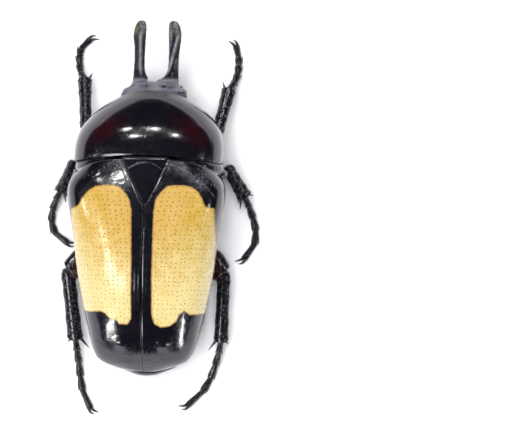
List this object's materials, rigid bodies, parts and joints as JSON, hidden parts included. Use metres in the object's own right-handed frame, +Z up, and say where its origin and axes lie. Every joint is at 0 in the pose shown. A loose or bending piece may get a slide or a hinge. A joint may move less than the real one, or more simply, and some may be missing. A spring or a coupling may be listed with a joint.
{
  "type": "male two-horned flower beetle",
  "caption": "Life-size still flower beetle: glossy black body, forked forward horns, wine-red shield sides and pale yellow wing-case patches, legs spread on the floor.",
  "frame": {"origin": "centre of the bounding box's bottom, on the floor under the middle of the beetle", "axes": "+Y along the body from the tail to the horns, +Z up through the back, +X to the beetle's right"},
  "size_m": [0.0176, 0.0322, 0.0082],
  "materials": {
    "black_cuticle": "glossy blue-black insect cuticle, finely pitted",
    "shield_cuticle": "glossy black cuticle with dark wine-red sides",
    "wing_case": "glossy pale yellow patches with rows of brown pits on black",
    "horn": "rough grey-black horn with pits and ridges",
    "eye": "dark faceted eye with a soft gloss",
    "feeler": "brown-black feeler with a dull club",
    "thigh_cuticle": "glossy black to dark wine-red cuticle",
    "shin_cuticle": "black cuticle, coarsely pitted, with short bristles",
    "foot_cuticle": "black jointed foot with bristles and smooth claws"
  },
  "bodies": {
    "root": {"abdomen": "black_cuticle", "antenna_l": "feeler", "antenna_r": "feeler", "elytron_l": "wing_case", "elytron_r": "wing_case", "eye_l": "eye", "eye_r": "eye", "femur_fore_l": "thigh_cuticle", "femur_fore_r": "thigh_cuticle", "femur_hind_l": "thigh_cuticle", "femur_hind_r": "thigh_cuticle", "femur_mid_l": "thigh_cuticle", "femur_mid_r": "thigh_cuticle", "head": "black_cuticle", "horn_l": "horn", "horn_r": "horn", "pronotum": "shield_cuticle", "pygidium": "black_cuticle", "scutellum": "black_cuticle", "tarsus_fore_l": "foot_cuticle", "tarsus_fore_r": "foot_cuticle", "tarsus_hind_l": "foot_cuticle", "tarsus_hind_r": "foot_cuticle", "tarsus_mid_l": "foot_cuticle", "tarsus_mid_r": "foot_cuticle", "thorax": "black_cuticle", "tibia_fore_l": "shin_cuticle", "tibia_fore_r": "shin_cuticle", "tibia_hind_l": "shin_cuticle", "tibia_hind_r": "shin_cuticle", "tibia_mid_l": "shin_cuticle", "tibia_mid_r": "shin_cuticle"}
  },
  "joints": []
}
